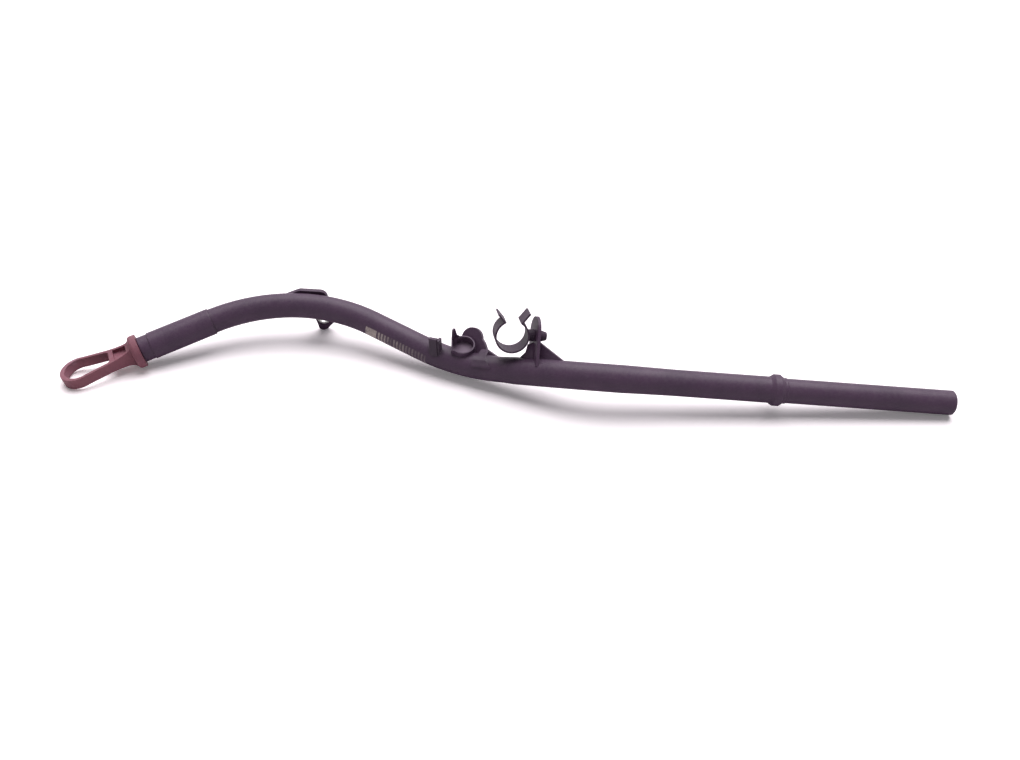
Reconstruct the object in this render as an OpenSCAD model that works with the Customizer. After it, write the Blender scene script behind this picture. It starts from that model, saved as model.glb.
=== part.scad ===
// Engine oil dipstick seated in its moulded guide tube, lying as it rests on a table.
// All sizes in millimetres, +Z up, floor at z = 0, origin under the middle of the part.

/* [Tube path] */
// Mouth of the tube, across the table
mouth_x = -187.75; // [-220:0.1:-150]
// Mouth of the tube, away from the viewer
mouth_y = 5.99; // [-20:0.1:30]
// Height of the mouth's centre above the table
mouth_z = 9.3; // [8.9:0.1:20]
// Corner of the upper bend, across
bend1_x = -109.65; // [-140:0.1:-80]
// Corner of the upper bend, away
bend1_y = 43.69; // [20:0.1:60]
// Corner of the upper bend, height
bend1_z = 23.7; // [15:0.1:40]
// Corner of the middle bend, across
bend2_x = -20.45; // [-50:0.1:10]
// Corner of the middle bend, away
bend2_y = -4.01; // [-30:0.1:20]
// Corner of the middle bend, height
bend2_z = 6.6; // [6:0.1:25]
// Corner of the lower bend, across
bend3_x = 43.75; // [20:0.1:70]
// Corner of the lower bend, away
bend3_y = -27.01; // [-50:0.1:0]
// Corner of the lower bend, height
bend3_z = 18.7; // [8:0.1:30]
// Open end of the spigot, across
end_x = 226.45; // [150:0.1:260]
// Open end of the spigot, away
end_y = -32.51; // [-60:0.1:0]
// Centreline radius of the upper bend
bend1_r = 90.6; // [60:0.1:120]
// Centreline radius of the middle bend
bend2_r = 124.9; // [60:0.1:150]
// Centreline radius of the lower bend
bend3_r = 88.2; // [40:0.1:120]

/* [Tube section] */
// Outside diameter of the plain tube
tube_od = 13.2; // [11:0.1:16]
// Outside diameter of the thick sleeve behind the mouth
sleeve_od = 14.3; // [13:0.1:18]
// Outside diameter of the short neck at the mouth
neck_od = 13.5; // [12:0.1:17]
// Length of the neck
neck_len = 5.7; // [3:0.1:10]
// Length of the sleeve measured from the mouth
sleeve_len = 39.1; // [25:0.1:45]
// Outside diameter where the brackets stand
zone_od = 14.0; // [12:0.1:17]
// Length of the taper after the bracket zone
zone_taper = 27; // [5:0.5:40]
// Bore of the tube
bore_d = 8.8; // [6:0.1:10]
// Bore that takes the dipstick's plug
mouth_bore_d = 10.3; // [8:0.1:11.5]
// Depth of the plug bore
mouth_bore_depth = 34; // [24:0.5:38]

/* [Spigot] */
// Outside diameter of the spigot
spigot_od = 12.3; // [10:0.1:16]
// Length of the spigot beyond the bead
spigot_len = 85.4; // [20:0.1:100]
// Crest diameter of the stop bead
bead_od = 15.8; // [14:0.1:20]
// Full width of the stop bead
bead_w = 7; // [4:0.1:12]
// Width of the bead's flat crest
bead_crest = 3; // [1:0.1:6]

/* [Mounting tab] */
// Thickness of the tab
tab_t = 2.4; // [2:0.1:6]
// Bore of the steel bush in the tab
bush_bore = 5.2; // [4:0.1:8.5]
// Outside diameter of the steel bush
bush_od = 7.2; // [6:0.1:12]
// Radius of the tab's lower boss
tab_boss_r = 5.1; // [4:0.1:9]

/* [Clip and ear] */
// Inside radius of the harness clip
clip_ri = 7.8; // [5:0.1:12]
// Thickness of the clip band
clip_t = 0.9; // [0.8:0.1:2]
// Width of the clip band
clip_w = 10.6; // [6:0.1:14]
// Width of the ear that carries the clip
ear_w = 16; // [10:0.5:20]
// Thickness of the ear
ear_t = 1.6; // [1.2:0.1:5]
// Diameter of the clip's shank through the ear
shank_d = 3.6; // [2:0.1:5]
// Diameter of the head behind the ear
knob_d = 5.2; // [4:0.1:8]

/* [Dipstick handle] */
// Radius of the rounded end of the loop
loop_r = 9.1; // [6:0.1:14]
// Thickness of the loop's strip
loop_t = 1.6; // [1.2:0.1:3]
// Height of the loop's strip
loop_h = 5.7; // [3:0.1:8]
// Distance from the flange to the centre of the loop's round end
loop_reach = 32.4; // [20:0.1:45]
// Diameter of the flange that closes the mouth
flange_d = 17.8; // [15:0.1:24]
// Thickness of the flange
flange_t = 4.3; // [2:0.1:6]
// Length of the plug inside the mouth
plug_len = 24; // [15:0.5:32]
// Diameter of the plug
plug_d = 9.5; // [7:0.1:10]
// Diameter of the steel cable
cable_d = 2.6; // [1.5:0.1:4]
// Width of the gauge blade at the cable's end
gauge_w = 5.6; // [4:0.1:7]
// Length of the gauge blade
gauge_len = 42; // [20:0.5:60]

/* [Hidden] */
$fn = 96;
eps = 0.01;
fit_gap = 0.03;

tube_r = tube_od / 2;
sleeve_r = sleeve_od / 2;
neck_r = neck_od / 2;
zone_r = zone_od / 2;
bore_r = bore_d / 2;
spigot_r = spigot_od / 2;
bead_r = bead_od / 2;
cable_r = cable_d / 2;

function unit(v) = v / norm(v);
function turn(a, b) = acos(unit(a) * unit(b));
function euler(x, z) = let(y = cross(z, x)) [atan2(y[2], z[2]), -asin(x[2]), atan2(x[1], x[0])];

v0 = [mouth_x, mouth_y, mouth_z];
v1 = [bend1_x, bend1_y, bend1_z];
v2 = [bend2_x, bend2_y, bend2_z];
v3 = [bend3_x, bend3_y, bend3_z];
// the spigot's rim rests on the table, so its height follows from its diameter
v4 = [end_x, end_y, spigot_r];
t1 = unit(v1 - v0);
t2 = unit(v2 - v1);
t3 = unit(v3 - v2);
t4 = unit(v4 - v3);
turn1 = turn(t1, t2);
turn2 = turn(t2, t3);
turn3 = turn(t3, t4);
cut1 = bend1_r * tan(turn1 / 2);
cut2 = bend2_r * tan(turn2 / 2);
cut3 = bend3_r * tan(turn3 / 2);
run1 = norm(v1 - v0) - cut1;
run2 = norm(v2 - v1) - cut1 - cut2;
run3 = norm(v3 - v2) - cut2 - cut3;
run4 = norm(v4 - v3) - cut3;
a1 = v1 + t2 * cut1;
a2 = v2 + t3 * cut2;
a3 = v3 + t4 * cut3;

// local frame: origin p, X along x, Z along z
module frame(p, x, z) translate(p) rotate(euler(x, z)) children();
function side(t) = unit(cross([0, 0, 1], t));
// straight length of a run: starts at p, follows direction t
module straight(p, t) frame(p, side(t), t) children();
// one bend: the 2D section is swept round the corner
module bend(v, ta, tb, r) {
    axis = unit(cross(ta, tb));
    cen = v - ta * (r * tan(turn(ta, tb) / 2)) + cross(axis, ta) * r;
    x0 = -cross(axis, ta);
    frame(cen, x0, axis) rotate_extrude(angle = turn(ta, tb)) translate([r, 0]) children();
}

// frame of the brackets: X along the run they stand on, Y the way they stand, Z to the viewer
lean = 40;
w0 = [0, sin(lean), cos(lean)];
bw = unit(w0 - t3 * (w0 * t3));
bz = cross(t3, bw);
bo = v2 + t3 * 28.7;
module bracket_frame() frame(bo, t3, bz) children();

// a joint between two stretches: a hair wider than they are, so they fuse cleanly
module joint(p, t, r) straight(p - t * 0.3, t) cylinder(r = r + 0.02, h = 0.6);
// the bends and straight runs between them; gap leaves each stretch clear of its neighbour's end
gap = 0.1;
module bends(ra, rb, rc) {
    bend(v1, t1, t2, bend1_r) circle(r = ra);
    bend(v2, t2, t3, bend2_r) circle(r = rb);
    bend(v3, t3, t4, bend3_r) circle(r = rc);
    joint(v0 + t1 * run1, t1, ra);
    joint(a1, t2, ra);
    joint(a1 + t2 * run2, t2, rb);
    joint(a2, t3, rb);
    joint(a2 + t3 * run3, t3, rc);
    joint(a3, t4, rc);
}

module tube_outside() {
    straight(v0, t1) rotate_extrude() polygon([[0, 0], [neck_r - 0.4, 0], [neck_r, 0.4], [neck_r, neck_len],
        [sleeve_r, neck_len], [sleeve_r, sleeve_len], [tube_r, run1 - 1], [tube_r, run1 - gap],
        [0, run1 - gap]]);
    bends(tube_r, tube_r, zone_r);
    straight(a1 + t2 * gap, t2) cylinder(r = tube_r, h = run2 - 2 * gap);
    straight(a2 + t3 * gap, t3) rotate_extrude() polygon([[0, 0], [tube_r, 0], [tube_r, 0.5], [zone_r, 8],
        [zone_r, run3 - 2 * gap], [0, run3 - 2 * gap]]);
    bead_s = run4 - spigot_len - bead_w - gap;
    flank = (bead_w - bead_crest) / 2;
    straight(a3 + t4 * gap, t4) rotate_extrude() polygon([[0, 0], [zone_r, 0], [zone_r, 1],
        [tube_r, zone_taper], [tube_r, bead_s], [bead_r, bead_s + flank],
        [bead_r, bead_s + flank + bead_crest], [spigot_r + 0.3, bead_s + bead_w],
        [spigot_r + 0.3, bead_s + bead_w + 1.2], [spigot_r, bead_s + bead_w + 1.5],
        [spigot_r, run4 - gap - 0.7], [spigot_r - 0.7, run4 - gap], [0, run4 - gap]]);
}

module path_solid(r, lead, tail) {
    straight(v0 + t1 * lead, t1) cylinder(r = r, h = run1 - lead - gap);
    bends(r, r, r);
    straight(a1 + t2 * gap, t2) cylinder(r = r, h = run2 - 2 * gap);
    straight(a2 + t3 * gap, t3) cylinder(r = r, h = run3 - 2 * gap);
    straight(a3 + t4 * gap, t4) cylinder(r = r, h = tail - gap);
}

// mounting tab behind the upper bend; it reaches down to the table
tab_y = bend1_y - 7.8;
tab_x = bend1_x + 14.1;
bush_z = 8.1;
module tab_plate() {
    translate([tab_x, tab_y, 0]) rotate([90, 0, 0]) mirror([0, 0, 1]) linear_extrude(tab_t) union() {
        polygon([[-20.4, 21], [-19.6, 23], [-15.6, 24.7], [-12.8, 25.9], [-11.2, 26.3], [-1.2, 25.6],
            [2.9, 21.4], [5.4, 14], [5.6, 8.5], [4.6, 5], [1.9, 2.2], [0.9, 0.9], [-1.5, 0.4],
            [-3.9, 1.6], [-4.4, 4.4], [-5.2, 8], [-5.4, 11], [-9, 15]]);
        translate([-1.1, 21.6]) circle(r = 4);
        translate([-1.5, 2.6]) circle(r = 2.6);
        translate([-0.1, bush_z]) circle(r = tab_boss_r);
    }
}
module bush_axis() translate([tab_x - 0.6, tab_y + tab_t / 2, bush_z]) rotate([90, 0, 0]) children();

// flat lug on the front of the tube, left of the cup
module front_lug() translate(v2 + [-10, 8.1, 3]) rotate([0, 0, -20]) {
    translate([-2.5, -7.8, 2.6]) cube([4.2, 1.6, 11.1]);
    translate([1.6, -7.1, 2.6]) cube([1.3, 3.4, 10]);
    translate([-1.9, -6.3, 2.6]) cube([3, 3.2, 8.6]);
}

// open cup on the tube, with a flat left wall and a thin finger at the back
cup_r = 6.1;
cup_h = 12.6;
cup_wall = 0.8;
cup_depth = 4;
cup_front = -4.2;
cup_back = 3.5;
module cup_frame() frame(v2 + [2.5, 5.3, -0.3], [1, 0, 0], unit([0, -0.2, 0.98])) children();
// round on the right, flat on the left; inset moves the outline inwards
module cup_plan(inset) {
    circle(r = cup_r - inset);
    translate([inset - cup_r, cup_front + inset]) square([cup_r, cup_back - cup_front - 2 * inset]);
}
module cup_outer() cup_frame()
    linear_extrude(cup_h) cup_plan(0);
module cup_inner() cup_frame()
    translate([0, 0, cup_h - cup_depth]) linear_extrude(cup_h) cup_plan(cup_wall);
module cup_side() cup_frame()
    translate([0.05 - cup_r, 0, cup_h - 3]) rotate([90, 0, 90]) linear_extrude(cup_wall - 0.1)
    polygon([[cup_front + 0.05, 0], [cup_front + 0.05, 3], [cup_back - 0.1, 5], [cup_back - 0.1, 0]]);
module cup_finger() cup_frame()
    translate([0, 0, cup_h - 6]) rotate([0, 0, 143]) translate([cup_r - 1.1, 0, 0]) rotate([90, 0, 90])
    linear_extrude(1.2)
    polygon([[-3.4, 0], [2.2, 0], [1.6, 9], [0.9, 14], [-0.6, 14], [-1.5, 9], [-2.4, 7], [-3.4, 6.1]]);

// rounded fin behind the cup, in the plane of the run
module lobe() {
    bracket_frame() translate([0, 0, -3.4]) linear_extrude(2.6) union() {
        translate([-23, 14.9]) circle(r = 5.7);
        polygon([[-28.7, 3], [-28.7, 14.9], [-23, 14.9], [-17.2, 14.9], [-15.7, 13], [-14.3, 9.8],
            [-6.2, 5.4], [-6.2, 3]]);
    }
}

// sloping foot that carries the fin down to the front of the tube
module fin_foot() bracket_frame() translate([0, 0, -1.2]) intersection() {
    linear_extrude(10) polygon([[-18.9, 0.3], [-8.2, 0], [-12.2, 5], [-13, 9.6], [-17, 9.6], [-18, 5]]);
    translate([-30, 0, 0]) rotate([90, 0, 90]) linear_extrude(30)
        polygon([[0, 0], [0, 8.5], [1, 8.4], [4, 7.2], [9.6, 0.4], [9.6, 0]]);
}

// ear and its side fins
ear_x = 12.25;
stud_y = 18.45;
knob_flare = 0.4;
knob_half = 2.35;
knob_room = 0.3;
es = [cos(35.5), 0, -sin(35.5)];
ee = [es[2], 0, -es[0]];
module ear() {
    bracket_frame() {
        frame([ear_x, 0, 0], ee, es) translate([0, 0, -ear_t / 2]) linear_extrude(ear_t) union() {
            translate([0, 28.2 - ear_w / 2]) circle(r = ear_w / 2);
            translate([-ear_w / 2, 3]) square([ear_w, 25.2 - ear_w / 2]);
        }
        translate([0, 0, -1.2]) linear_extrude(2.4) polygon([[ear_x, 3], [ear_x, 17.2], [14.4, 15.7],
            [28.6, 6.6], [28.6, 3]]);
        translate([0, 0, -1.2]) linear_extrude(2.4) polygon([[4.6, 3], [4.6, 6.3], [8, 9.8], [8.9, 13.8],
            [ear_x, 15], [ear_x, 3]]);
    }
}
module stud_frame() bracket_frame() frame([ear_x, stud_y, 0], [0, 1, 0], es) children();

module guide_tube() color([0.13, 0.12, 0.13]) difference() {
    union() {
        tube_outside();
        tab_plate();
        front_lug();
        cup_outer();
        cup_side();
        cup_finger();
        lobe();
        fin_foot();
        ear();
    }
    path_solid(bore_r, mouth_bore_depth - 0.5, run4 + 1);
    straight(v0 - t1, t1) cylinder(d = mouth_bore_d, h = mouth_bore_depth + 1);
    cup_inner();
    bush_axis() cylinder(d = bush_od, h = 3 * tab_t, center = true);
    stud_frame() cylinder(d = shank_d + 2 * fit_gap, h = 4 * ear_t, center = true);
    stud_frame() translate([0, 0, ear_t / 2])
        cylinder(d = knob_d + knob_flare + 2 * knob_room, h = 2 * knob_half + knob_room);
}

module tab_bush() color([0.72, 0.73, 0.75]) bush_axis() difference() {
    cylinder(d = bush_od - 2 * eps, h = tab_t + 0.4, center = true);
    cylinder(d = bush_bore, h = 2 * tab_t, center = true);
}

// C-shaped clip: band, two flared lips, stand-off, shank and head
clip_ro = clip_ri + clip_t;
standoff = 3.2;
clip_tilt = 19;
clip_yaw = 4;
lip_a = 123;
lip_b = 61.5;
lip_len = 5.3;
lip_root = 0.4;
lip_w = clip_w - 0.1;
pad_d = 6;
module clip_band() {
    rotate([0, 0, lip_a]) rotate_extrude(angle = 360 - lip_a + lip_b) translate([clip_ri, -clip_w / 2])
        square([clip_t, clip_w]);
    rotate([0, 0, lip_a]) translate([clip_ri + clip_t / 2, 0, 0]) rotate([0, 0, 13])
        translate([-lip_root, -clip_t / 2, -lip_w / 2]) cube([lip_len + lip_root, clip_t, lip_w]);
    rotate([0, 0, lip_b]) translate([clip_ri + clip_t / 2, 0, 0]) rotate([0, 0, -4])
        translate([-lip_root, -clip_t / 2, -lip_w / 2]) cube([lip_len + lip_root + 1, clip_t, lip_w]);
}
module harness_clip() color([0.15, 0.14, 0.15]) stud_frame() {
    rotate([0, 0, clip_tilt]) translate([0, 0, -(ear_t / 2 + standoff + clip_ro)])
        rotate([-clip_yaw, 0, 0]) rotate([0, -90, 0]) rotate([-90, 0, 0]) clip_band();
    translate([0, 0, -ear_t / 2 - standoff - clip_t / 2])
        cylinder(d = pad_d, h = standoff + clip_t / 2 - fit_gap);
    translate([0, 0, -ear_t / 2 - standoff / 2]) cylinder(d = shank_d, h = ear_t + standoff / 2 + 1);
    translate([0, 0, ear_t / 2 + fit_gap]) cylinder(d1 = knob_d, d2 = knob_d + knob_flare, h = knob_half);
    translate([0, 0, ear_t / 2 + fit_gap + knob_half])
        cylinder(d1 = knob_d + knob_flare, d2 = knob_d - 1, h = knob_half);
}

// frame of the mouth: Z out along the axis, X to the viewer, Y up
module mouth_frame() frame(v0, side(-t1), -t1) children();
yaw = 2;
// the strip sits a little above the flange's axis
loop_up = 0.4;
neck_w = 4.2;
neck_z = 6;
web_z = 16;
pocket_z = [6.6, 13.6];
pocket_floor = 1.6;
strip_t = 1.5;
// half width of the loop's outline at a distance from the flange's seat
function loop_half(z) = neck_w + (loop_r - neck_w) * (z - neck_z) / (loop_reach - neck_z);
seal_sec = 1.9;
seal_od = mouth_bore_d - 2 * fit_gap;
groove_r = seal_od / 2 - seal_sec - 0.02;
seal_at = [5.5, 11.5];
blind = 22.5;
module loop_outer() {
    translate([0, loop_reach]) circle(r = loop_r);
    polygon([[-neck_w, 1], [neck_w, 1], [neck_w, neck_z], [loop_half(loop_reach - 1), loop_reach - 1],
        [-loop_half(loop_reach - 1), loop_reach - 1], [-neck_w, neck_z]]);
}
module loop_inner() {
    ri = loop_r - loop_t;
    wide = loop_half(web_z) - strip_t;
    translate([0, loop_reach - 0.6]) circle(r = ri);
    polygon([[-wide + 1, web_z], [wide - 1, web_z], [wide, web_z + 1], [ri, loop_reach - 0.6],
        [-ri, loop_reach - 0.6], [-wide, web_z + 1]]);
}
// recess between the strips, from the flange to the web
module pocket() {
    near = loop_half(pocket_z[0]) - strip_t;
    far = loop_half(pocket_z[1]) - strip_t;
    rotate([90, 0, 0]) translate([0, 0, -10]) linear_extrude(10 - pocket_floor)
        polygon([[-near, pocket_z[0]], [near, pocket_z[0]], [far, pocket_z[1]], [-far, pocket_z[1]]]);
}
module handle() color([0.55, 0.27, 0.27]) mouth_frame() difference() {
    union() {
        rotate([0, -yaw, 0]) intersection() {
            rotate([90, 0, 0]) translate([0, 0, -10]) linear_extrude(20) difference() {
                loop_outer();
                loop_inner();
            }
            rotate([0, 90, 0]) rotate([0, 0, 90]) translate([0, 0, -20]) linear_extrude(40)
                polygon([[-6.2, 0], [6.2, 0], [6.2, flange_t], [5.2, flange_t + 0.8], [4.5, flange_t + 2],
                    [4, 8.4], [3.5, 12], [loop_up + loop_h / 2, 16],
                    [loop_up + loop_h / 2, loop_reach + loop_r + 1],
                    [loop_up - loop_h / 2, loop_reach + loop_r + 1], [loop_up - loop_h / 2, 16],
                    [-2.8, 12], [-3.4, 8.4], [-4.2, flange_t + 2], [-5.1, flange_t + 0.8],
                    [-6.2, flange_t]]);
        }
        rotate_extrude() polygon([[0, 0.05], [flange_d / 2, 0.05], [flange_d / 2, flange_t - 1.4],
            [flange_d / 2 - 0.5, flange_t - 0.4], [flange_d / 2 - 1.4, flange_t], [0, flange_t]]);
        rotate_extrude() polygon([[0, 0.1], [plug_d / 2, 0.1], [plug_d / 2, -seal_at[0] + 1],
            [groove_r, -seal_at[0] + 1], [groove_r, -seal_at[0] - 1], [plug_d / 2, -seal_at[0] - 1],
            [plug_d / 2, -seal_at[1] + 1], [groove_r, -seal_at[1] + 1], [groove_r, -seal_at[1] - 1],
            [plug_d / 2, -seal_at[1] - 1], [plug_d / 2, -plug_len + 2], [plug_d / 2 - 1.4, -plug_len],
            [0, -plug_len]]);
    }
    translate([0, 0, -plug_len - 1]) cylinder(r = cable_r + fit_gap, h = blind + 1);
    rotate([0, -yaw, 0]) pocket();
    rotate([0, -yaw, 0]) mirror([0, 1, 0]) pocket();
}

module seal(at) mouth_frame() translate([0, 0, -at]) rotate_extrude()
    translate([seal_od / 2 - seal_sec / 2, 0]) circle(r = seal_sec / 2);
module upper_seal() color([0.08, 0.08, 0.08]) seal(seal_at[0]);
module lower_seal() color([0.08, 0.08, 0.08]) seal(seal_at[1]);

// cable from the plug's socket to the ferrule in the lower run
gauge_end = 22;
ferrule_len = 14;
ferrule_s = run4 - gauge_end - gauge_len - ferrule_len + 4;
module cable() color([0.66, 0.67, 0.69])
    path_solid(cable_r, plug_len - blind + 0.2, ferrule_s + 6);
module ferrule() color([0.7, 0.7, 0.68]) straight(a3 + t4 * ferrule_s, t4) difference() {
    rotate_extrude() polygon([[0, 0], [2.1, 0], [2.5, 0.5], [2.5, ferrule_len - 0.5],
        [2.1, ferrule_len], [0, ferrule_len]]);
    translate([0, 0, -1]) cylinder(r = cable_r + fit_gap, h = 7.1);
    translate([-gauge_w / 2, -0.8, ferrule_len - 5]) cube([gauge_w, 1.6, 8]);
}
module gauge_blade() color([0.72, 0.73, 0.74]) straight(a3 + t4 * ferrule_s, t4) difference() {
    translate([-gauge_w / 2 + 0.02, -0.75, ferrule_len - 4.9])
        cube([gauge_w - 0.04, 1.5, gauge_len + 4.9]);
    for (k = [12, 32]) translate([gauge_w / 2 - 0.8, -2, ferrule_len + k]) cube([2, 4, 1.2]);
    for (k = [12, 32]) translate([-gauge_w / 2 - 1.2, -2, ferrule_len + k]) cube([2, 4, 1.2]);
    translate([0, 0, ferrule_len + gauge_len]) rotate([90, 0, 0]) for (m = [0, 1]) mirror([m, 0, 0])
        linear_extrude(gauge_w, center = true) polygon([[1.4, 0.1], [gauge_w, 0.1], [gauge_w, -2.6]]);
}

guide_tube();
tab_bush();
harness_clip();
handle();
upper_seal();
lower_seal();
cable();
ferrule();
gauge_blade();
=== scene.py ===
# Engine oil dipstick in its guide tube: camera, floor, light and surface finishes round the solids.
# All lengths in metres, in the model's own frame: +Z up, floor at z = 0, -Y towards the viewer.
import math

import bpy
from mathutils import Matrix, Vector

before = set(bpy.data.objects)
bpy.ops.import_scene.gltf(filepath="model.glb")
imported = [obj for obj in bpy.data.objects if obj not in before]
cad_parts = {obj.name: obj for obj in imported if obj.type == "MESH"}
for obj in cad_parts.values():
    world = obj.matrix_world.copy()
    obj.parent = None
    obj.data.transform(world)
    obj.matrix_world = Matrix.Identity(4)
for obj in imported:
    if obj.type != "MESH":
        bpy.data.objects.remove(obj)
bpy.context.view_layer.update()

scene = bpy.context.scene
scene.view_settings.view_transform = "Standard"

MM = 0.001


def rgb(red, green, blue):
    return (red, green, blue, 1.0)


# The camera that fits the photograph
PHOTO_WIDTH = 1020
FOCAL_PIXELS = 1000
SENSOR_WIDTH = 36.0
CAMERA_AT = Vector((6.35, -406.71, 334.7)) * MM
CAMERA_PITCH = math.radians(40)
CAMERA_NEAR = 10 * MM
HALF_PIXEL = 0.5 / PHOTO_WIDTH

# Floor and light. The camera sees the floor brighter than the part does.
FLOOR_SIZE = 6.0
FLOOR_GAP = 0.05 * MM
FLOOR_COLOUR = rgb(0.92, 0.90, 0.91)
FLOOR_SHOWN = rgb(1.38, 1.28, 1.34)
FLOOR_LIFT = 0.13
WHITE = rgb(1.0, 1.0, 1.0)
FILL_LEVEL = 0.14
KEY_DIRECTION = Vector((0.1, 0.42, 0.9))
KEY_SPREAD = math.radians(60)
KEY_POWER = 3.2

# The straight run between the tube's first two bends, where the print is
UPPER_BEND = Vector((-109.65, 43.69, 23.7)) * MM
MIDDLE_BEND = Vector((-20.45, -4.01, 6.6)) * MM
UPPER_RUN = (MIDDLE_BEND - UPPER_BEND).normalized()

# Print: its ends and edges, measured from the run's axis
PRINT_START = UPPER_BEND + UPPER_RUN * 49 * MM
PATCH_END = 6.4 * MM
LAST_BAR = 37 * MM
BAR_PITCH = 1.9 * MM
LOW_FRONT = Vector((0, -0.35, -0.94))
FRONT = Vector((0, -1, 0))

# Places given painted shade or painted light, and worn marks on the loop
CUP_HOLLOW = Vector((-17.95, -0.5, 16.0)) * MM
LUG = Vector((-32.7, -2.0, 17.5)) * MM
FIN_FOOT = Vector((-8.0, -9.0, 15.0)) * MM
CLIP_PAD = Vector((16.6, -6.5, 28.7)) * MM
LOOP_TIP = Vector((-222.4, 0.3, 6.5)) * MM
LOOP_FADED = Vector((-221, -6, 3)) * MM
LOOP_PIT = Vector((-210, -9.9, 3)) * MM

# Painted shade, laid on the lug, the fin's foot and the clip's pad
SHADE = rgb(0.030, 0.018, 0.032)
# Pale dust on upward faces, which is also a painted sheen on top
DUST_AND_SHEEN_COLOUR = rgb(0.42, 0.37, 0.39)
# Painted light for the cup's hollow, which its own wall would shade
CUP_PAINTED_LIGHT = rgb(0.22, 0.15, 0.22)
PRINT = rgb(0.50, 0.41, 0.40)
STAIN = rgb(0.30, 0.27, 0.25)
LOW_SHINE = 0.28
CLIP_SHINE = 0.16

# Sockets of a mix node set to colours
MIX_FIRST = 6
MIX_SECOND = 7
MIX_RESULT = 2

# Turn of the rounded normal from the real one, as a cosine: on a flat face, and on a sharp edge
FLAT_TURN = 0.995
EDGE_TURN = 0.85
BEVEL_SAMPLES = 6

# How far a face looks up, as a cosine: where dust and painted sheen begin, and where they are full
DUST_AND_SHEEN_BEGINS = 0.2
DUST_AND_SHEEN_FULL = 0.95


class Graph:
    """A node tree, built from short calls."""

    def __init__(self, tree):
        self.tree = tree

    def add(self, kind):
        return self.tree.nodes.new(kind)

    def put(self, value, socket):
        """Sets a socket to a plain value, or joins it to another node's output."""
        if isinstance(value, bpy.types.NodeSocket):
            self.tree.links.new(value, socket)
        else:
            socket.default_value = value

    def math(self, operation, *values):
        node = self.add("ShaderNodeMath")
        node.operation = operation
        for value, socket in zip(values, node.inputs):
            self.put(value, socket)
        return node.outputs[0]

    def times(self, first, *others):
        """The product of any number of values."""
        for other in others:
            first = self.math("MULTIPLY", first, other)
        return first

    def fade(self, value, start, end, low=0.0, high=1.0):
        """Goes smoothly from low to high as value goes from start to end."""
        node = self.add("ShaderNodeMapRange")
        node.interpolation_type = "SMOOTHSTEP"
        self.put(value, node.inputs["Value"])
        self.put(start, node.inputs["From Min"])
        self.put(end, node.inputs["From Max"])
        self.put(low, node.inputs["To Min"])
        self.put(high, node.inputs["To Max"])
        return node.outputs["Result"]

    def mix(self, amount, first, second):
        """The first colour where amount is 0, the second where it is 1."""
        node = self.add("ShaderNodeMix")
        node.data_type = "RGBA"
        self.put(amount, node.inputs["Factor"])
        self.put(first, node.inputs[MIX_FIRST])
        self.put(second, node.inputs[MIX_SECOND])
        return node.outputs[MIX_RESULT]


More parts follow.
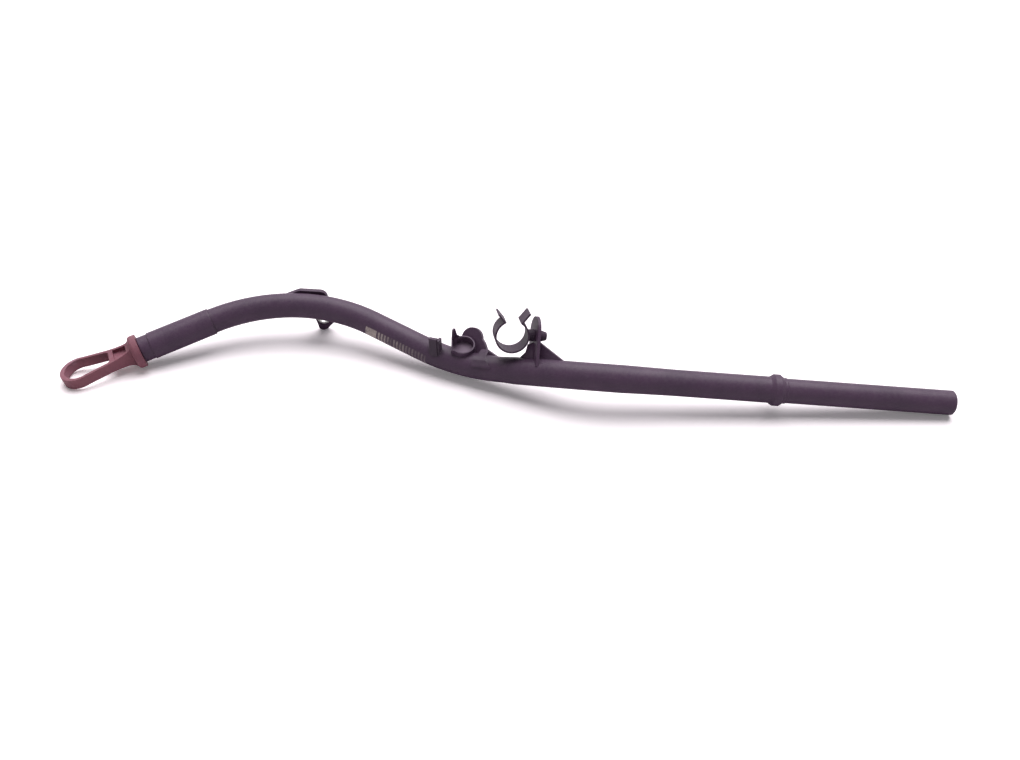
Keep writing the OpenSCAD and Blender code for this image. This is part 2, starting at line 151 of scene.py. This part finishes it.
class Finish(Graph):
    """One material. Textures use the object's own coordinates, in metres."""

    def __init__(self, name):
        self.material = bpy.data.materials.new(name)
        self.material.use_nodes = True
        super().__init__(self.material.node_tree)
        self.tree.nodes.clear()
        self.output = self.add("ShaderNodeOutputMaterial")
        self.place = self.add("ShaderNodeTexCoord").outputs["Object"]

    def vector(self, operation, *values):
        """Arithmetic on vectors. A dot product or a distance comes out as a number."""
        node = self.add("ShaderNodeVectorMath")
        node.operation = operation
        for value, socket in zip(values, node.inputs):
            self.put(value, socket)
        number = operation in ("DOT_PRODUCT", "DISTANCE")
        return node.outputs["Value" if number else "Vector"]

    def scaled(self, *factors):
        """The place with each axis multiplied. Noise there is drawn out along the axes with low factors."""
        return self.vector("MULTIPLY", self.place, factors)

    def noise(self, size, detail=2.0, place=None, offset=0.0):
        """Noise from 0 to 1 whose blotches are about size metres across."""
        node = self.add("ShaderNodeTexNoise")
        node.inputs["Scale"].default_value = 1 / size
        node.inputs["Detail"].default_value = detail
        shifted = self.vector("ADD", place or self.place, (offset, 2 * offset, 3 * offset))
        self.put(shifted, node.inputs["Vector"])
        return node.outputs["Fac"]

    def spot(self, centre, radius, soft=0.5):
        """1 inside a ball round centre, fading to 0 over the outer part, which is soft of the radius."""
        distance = self.vector("DISTANCE", self.place, tuple(centre))
        return self.fade(distance, radius * (1 - soft), radius, low=1.0, high=0.0)

    def dab(self, tint, centre, radius, soft, amount, colour):
        """The tint with another colour laid round one spot."""
        return self.mix(self.times(self.spot(centre, radius, soft), amount), tint, colour)

    def along(self, start, direction):
        """Distance from start along direction."""
        offset = self.vector("SUBTRACT", self.place, tuple(start))
        return self.vector("DOT_PRODUCT", offset, tuple(direction))

    def band(self, value, low, high, soft):
        """1 where value lies between low and high, fading over soft on each side."""
        rise = self.fade(value, low - soft, low)
        fall = self.fade(value, high, high + soft, low=1.0, high=0.0)
        return self.times(rise, fall)

    def real_normal(self):
        return self.add("ShaderNodeNewGeometry").outputs["Normal"]

    def rounded(self, radius):
        """The normal of the surface with its edges and corners rounded."""
        node = self.add("ShaderNodeBevel")
        node.samples = BEVEL_SAMPLES
        node.inputs["Radius"].default_value = radius
        return node.outputs["Normal"]

    def edges(self, radius):
        """0 on flat or gently curved faces, rising to 1 on an edge or in a corner."""
        turn = self.vector("DOT_PRODUCT", self.rounded(radius), self.real_normal())
        return self.fade(turn, FLAT_TURN, EDGE_TURN)

    def facing_up(self):
        """0 on walls, rising to 1 on level faces."""
        upward = self.vector("DOT_PRODUCT", self.real_normal(), (0, 0, 1))
        return self.fade(upward, DUST_AND_SHEEN_BEGINS, DUST_AND_SHEEN_FULL)

    def bump(self, height, depth, normal):
        node = self.add("ShaderNodeBump")
        node.inputs["Strength"].default_value = 1.0
        node.inputs["Distance"].default_value = depth
        self.put(height, node.inputs["Height"])
        self.put(normal, node.inputs["Normal"])
        return node.outputs["Normal"]

    def surface(self, colour, roughness, normal, shine=0.5, metal=0.0):
        """The finished material. Shine and metal are plain values."""
        shader = self.add("ShaderNodeBsdfPrincipled")
        self.put(colour, shader.inputs["Base Color"])
        self.put(roughness, shader.inputs["Roughness"])
        self.put(normal, shader.inputs["Normal"])
        shader.inputs["Specular IOR Level"].default_value = shine
        shader.inputs["Metallic"].default_value = metal
        self.put(shader.outputs["BSDF"], self.output.inputs["Surface"])
        return self.material


def across_run(direction):
    """The part of a direction that is square to the upper run."""
    return (direction - UPPER_RUN * direction.dot(UPPER_RUN)).normalized()


def print_mask(finish):
    """Worn pale print on the lower front of the upper run: one solid patch, then bars that fade out."""
    distance = finish.along(PRINT_START, UPPER_RUN)
    downward = finish.along(PRINT_START, across_run(LOW_FRONT))
    forward = finish.along(PRINT_START, across_run(FRONT))
    upper_edge = finish.fade(downward, start=-0.7 * MM, end=0.1 * MM)
    lower_edge = finish.fade(forward, start=2.4 * MM, end=3 * MM)
    solid = finish.band(distance, 0.0, PATCH_END, soft=0.3 * MM)
    wave = finish.math("SINE", finish.times(distance, 2 * math.pi / BAR_PITCH))
    bars = finish.fade(wave, -0.4, 0.6, low=0.15, high=1.0)
    extent = finish.band(distance, PATCH_END, LAST_BAR, soft=0.5 * MM)
    fading = finish.fade(distance, PATCH_END, LAST_BAR, low=0.95, high=0.25)
    whole_bars = finish.noise(3.4 * MM, place=finish.scaled(1.0, 0.2, 0.2))
    patchy = finish.fade(whole_bars, 0.35, 0.6, low=0.25, high=1.0)
    bars = finish.times(bars, extent, fading, patchy)
    worn = finish.fade(finish.noise(0.9 * MM, detail=4.0), 0.25, 0.6, low=0.45, high=1.0)
    return finish.times(finish.math("MAXIMUM", solid, bars), upper_edge, lower_edge, worn)


def moulded_plastic(name, colour, grime, worn_edge, roughness, edge_radius, dust_and_sheen_level):
    """Satin moulded plastic: mottled colour, fine grain, dust with a painted sheen on top faces, paler
    rubbed edges.
    """
    finish = Finish(name)
    mottle = finish.noise(14 * MM, detail=4.0)
    speckle = finish.noise(0.5 * MM, detail=3.0, offset=0.4)
    wear = finish.fade(finish.noise(3 * MM, detail=3.0, offset=1.7), 0.35, 0.7, low=0.08, high=0.35)
    rubbed = finish.times(finish.edges(edge_radius), wear)
    streaks = finish.noise(2.2 * MM, detail=5.0, place=finish.scaled(1.0, 6.0, 6.0), offset=0.9)
    scuffs = finish.fade(streaks, 0.6, 0.78, high=0.15)
    specks = finish.fade(finish.noise(1.6 * MM, detail=5.0, offset=2.3), 0.3, 0.75)
    # Dust on upward faces, also standing as a painted sheen on the top of each part
    dust_and_sheen_mask = finish.times(finish.facing_up(), specks, dust_and_sheen_level)
    tint = finish.mix(finish.fade(mottle, 0.3, 0.7), colour, grime)
    tint = finish.mix(finish.fade(speckle, 0.35, 0.75, high=0.12), tint, worn_edge)
    tint = finish.mix(scuffs, tint, worn_edge)
    tint = finish.mix(rubbed, tint, worn_edge)
    tint = finish.mix(dust_and_sheen_mask, tint, DUST_AND_SHEEN_COLOUR)
    gloss = finish.fade(mottle, 0.2, 0.8, low=roughness - 0.05, high=roughness + 0.07)
    gloss = finish.math("ADD", gloss, finish.times(dust_and_sheen_mask, 0.4))
    normal = finish.bump(speckle, 0.008 * MM, finish.rounded(edge_radius))
    return finish, tint, gloss, normal


def tube_plastic():
    """Black, with the worn print, painted light in the cup's hollow, and painted shade on the lug and the
    fin's foot.
    """
    finish, tint, gloss, normal = moulded_plastic(
        "tube_plastic", colour=rgb(0.078, 0.037, 0.080), grime=rgb(0.062, 0.031, 0.066),
        worn_edge=rgb(0.17, 0.13, 0.17), roughness=0.44, edge_radius=0.5 * MM, dust_and_sheen_level=0.05)
    tint = finish.mix(print_mask(finish), tint, PRINT)
    # Painted light in the cup's hollow, and painted shade on the lug and the fin's foot
    tint = finish.dab(tint, CUP_HOLLOW, radius=6.4 * MM, soft=0.15, amount=0.7, colour=CUP_PAINTED_LIGHT)
    tint = finish.dab(tint, LUG, radius=6.5 * MM, soft=0.3, amount=0.6, colour=SHADE)
    tint = finish.dab(tint, FIN_FOOT, radius=8 * MM, soft=0.6, amount=0.5, colour=SHADE)
    return finish.surface(tint, gloss, normal, shine=LOW_SHINE)


def clip_plastic():
    """Black and duller than the tube, with painted shade where the band meets its shank."""
    finish, tint, gloss, normal = moulded_plastic(
        "clip_plastic", colour=rgb(0.072, 0.042, 0.076), grime=rgb(0.058, 0.035, 0.062),
        worn_edge=rgb(0.13, 0.09, 0.13), roughness=0.46, edge_radius=0.3 * MM, dust_and_sheen_level=0.03)
    # Painted shade on the pad where the band meets its shank
    tint = finish.dab(tint, CLIP_PAD, radius=4.4 * MM, soft=0.4, amount=0.6, colour=SHADE)
    return finish.surface(tint, gloss, normal, shine=CLIP_SHINE)


def handle_plastic():
    """Brownish pink, faded and scuffed at the loop's tip, with one small dark pit."""
    finish, tint, gloss, normal = moulded_plastic(
        "handle_plastic", colour=rgb(0.28, 0.092, 0.128), grime=rgb(0.23, 0.078, 0.112),
        worn_edge=rgb(0.38, 0.19, 0.24), roughness=0.52, edge_radius=0.45 * MM, dust_and_sheen_level=0.12)
    patches = finish.fade(finish.noise(1.2 * MM, detail=4.0), 0.35, 0.6, low=0.2, high=0.7)
    scuffed = rgb(0.42, 0.24, 0.31)
    faded = rgb(0.40, 0.21, 0.27)
    pitted = rgb(0.09, 0.03, 0.045)
    tint = finish.dab(tint, LOOP_TIP, radius=3.5 * MM, soft=0.7, amount=patches, colour=scuffed)
    tint = finish.dab(tint, LOOP_FADED, radius=11 * MM, soft=0.8, amount=0.4, colour=faded)
    tint = finish.dab(tint, LOOP_PIT, radius=0.8 * MM, soft=0.5, amount=0.6, colour=pitted)
    return finish.surface(tint, gloss, normal, shine=LOW_SHINE)


def steel(name, grey, roughness, line_size, factors):
    """Bare metal with a few stains and fine lines, drawn out along the axes with low factors."""
    finish = Finish(name)
    lines = finish.noise(line_size, detail=3.0, place=finish.scaled(*factors))
    stains = finish.noise(4 * MM, detail=3.0, offset=0.8)
    tint = finish.mix(finish.fade(stains, 0.4, 0.75, high=0.5), grey, STAIN)
    gloss = finish.fade(lines, 0.3, 0.7, low=roughness - 0.08, high=roughness + 0.1)
    normal = finish.bump(lines, 0.01 * MM, finish.rounded(0.1 * MM))
    return finish.surface(tint, gloss, normal, metal=1.0)


def seal_rubber():
    """Near black and slightly grainy."""
    finish = Finish("seal_rubber")
    grain = finish.noise(0.4 * MM, detail=3.0)
    tint = finish.mix(grain, rgb(0.015, 0.015, 0.016), rgb(0.035, 0.033, 0.034))
    normal = finish.bump(grain, 0.01 * MM, finish.rounded(0.1 * MM))
    return finish.surface(tint, finish.fade(grain, 0.2, 0.8, low=0.35, high=0.5), normal)


def dress():
    """Gives every node of the model its finish."""
    rubber = seal_rubber()
    finishes = {
        "guide_tube": tube_plastic(),
        "harness_clip": clip_plastic(),
        "handle": handle_plastic(),
        "upper_seal": rubber,
        "lower_seal": rubber,
        "tab_bush": steel("bush_steel", rgb(0.72, 0.71, 0.70), 0.28, 0.3 * MM, (1.0, 8.0, 1.0)),
        "cable": steel("cable_steel", rgb(0.55, 0.55, 0.54), 0.35, 0.5 * MM, (3.0, 1.0, 1.0)),
        "ferrule": steel("ferrule_steel", rgb(0.60, 0.60, 0.57), 0.38, 0.4 * MM, (1.0, 6.0, 6.0)),
        "gauge_blade": steel("blade_steel", rgb(0.70, 0.70, 0.69), 0.30, 0.3 * MM, (1.0, 8.0, 8.0)),
    }
    for name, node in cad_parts.items():
        for slot in node.material_slots:
            slot.material = finishes[name]


def make_camera():
    lens = bpy.data.cameras.new("camera")
    lens.sensor_width = SENSOR_WIDTH
    lens.lens = SENSOR_WIDTH * FOCAL_PIXELS / PHOTO_WIDTH
    lens.shift_x = -HALF_PIXEL
    lens.shift_y = HALF_PIXEL
    lens.clip_start = CAMERA_NEAR
    camera = bpy.data.objects.new("camera", lens)
    camera.location = CAMERA_AT
    camera.rotation_euler = (math.pi / 2 - CAMERA_PITCH, 0, 0)
    scene.collection.objects.link(camera)
    scene.camera = camera


def make_floor():
    """White table. The camera sees it exposed past white, so only its shadows stay."""
    bpy.ops.mesh.primitive_plane_add(size=FLOOR_SIZE, location=(0, 0, -FLOOR_GAP))
    floor = bpy.context.object
    floor.name = "floor"
    finish = Finish("floor")
    shown = finish.add("ShaderNodeLightPath").outputs["Is Camera Ray"]
    diffuse = finish.add("ShaderNodeBsdfDiffuse")
    finish.put(finish.mix(shown, FLOOR_COLOUR, FLOOR_SHOWN), diffuse.inputs["Color"])
    lift = finish.add("ShaderNodeEmission")
    finish.put(finish.times(shown, FLOOR_LIFT), lift.inputs["Strength"])
    both = finish.add("ShaderNodeAddShader")
    finish.put(diffuse.outputs[0], both.inputs[0])
    finish.put(lift.outputs[0], both.inputs[1])
    finish.put(both.outputs[0], finish.output.inputs["Surface"])
    floor.data.materials.append(finish.material)


def make_world():
    """Even studio fill, shown as plain white to the camera, in a reflection or through glass."""
    world = bpy.data.worlds.new("studio")
    world.use_nodes = True
    scene.world = world
    graph = Graph(world.node_tree)
    rays = graph.add("ShaderNodeLightPath").outputs
    shown = graph.math("MAXIMUM", rays["Is Camera Ray"], rays["Is Glossy Ray"])
    shown = graph.math("MAXIMUM", shown, rays["Is Transmission Ray"])
    background = world.node_tree.nodes["Background"]
    background.inputs["Color"].default_value = WHITE
    graph.put(graph.fade(shown, 0.0, 1.0, low=FILL_LEVEL), background.inputs["Strength"])


def make_key():
    """One broad soft light from behind and above, even over the whole table."""
    data = bpy.data.lights.new("key", "SUN")
    data.angle = KEY_SPREAD
    data.energy = KEY_POWER
    lamp = bpy.data.objects.new("key", data)
    lamp.location = KEY_DIRECTION
    lamp.rotation_euler = KEY_DIRECTION.to_track_quat("Z", "Y").to_euler()
    scene.collection.objects.link(lamp)


make_camera()
make_floor()
make_world()
make_key()
dress()
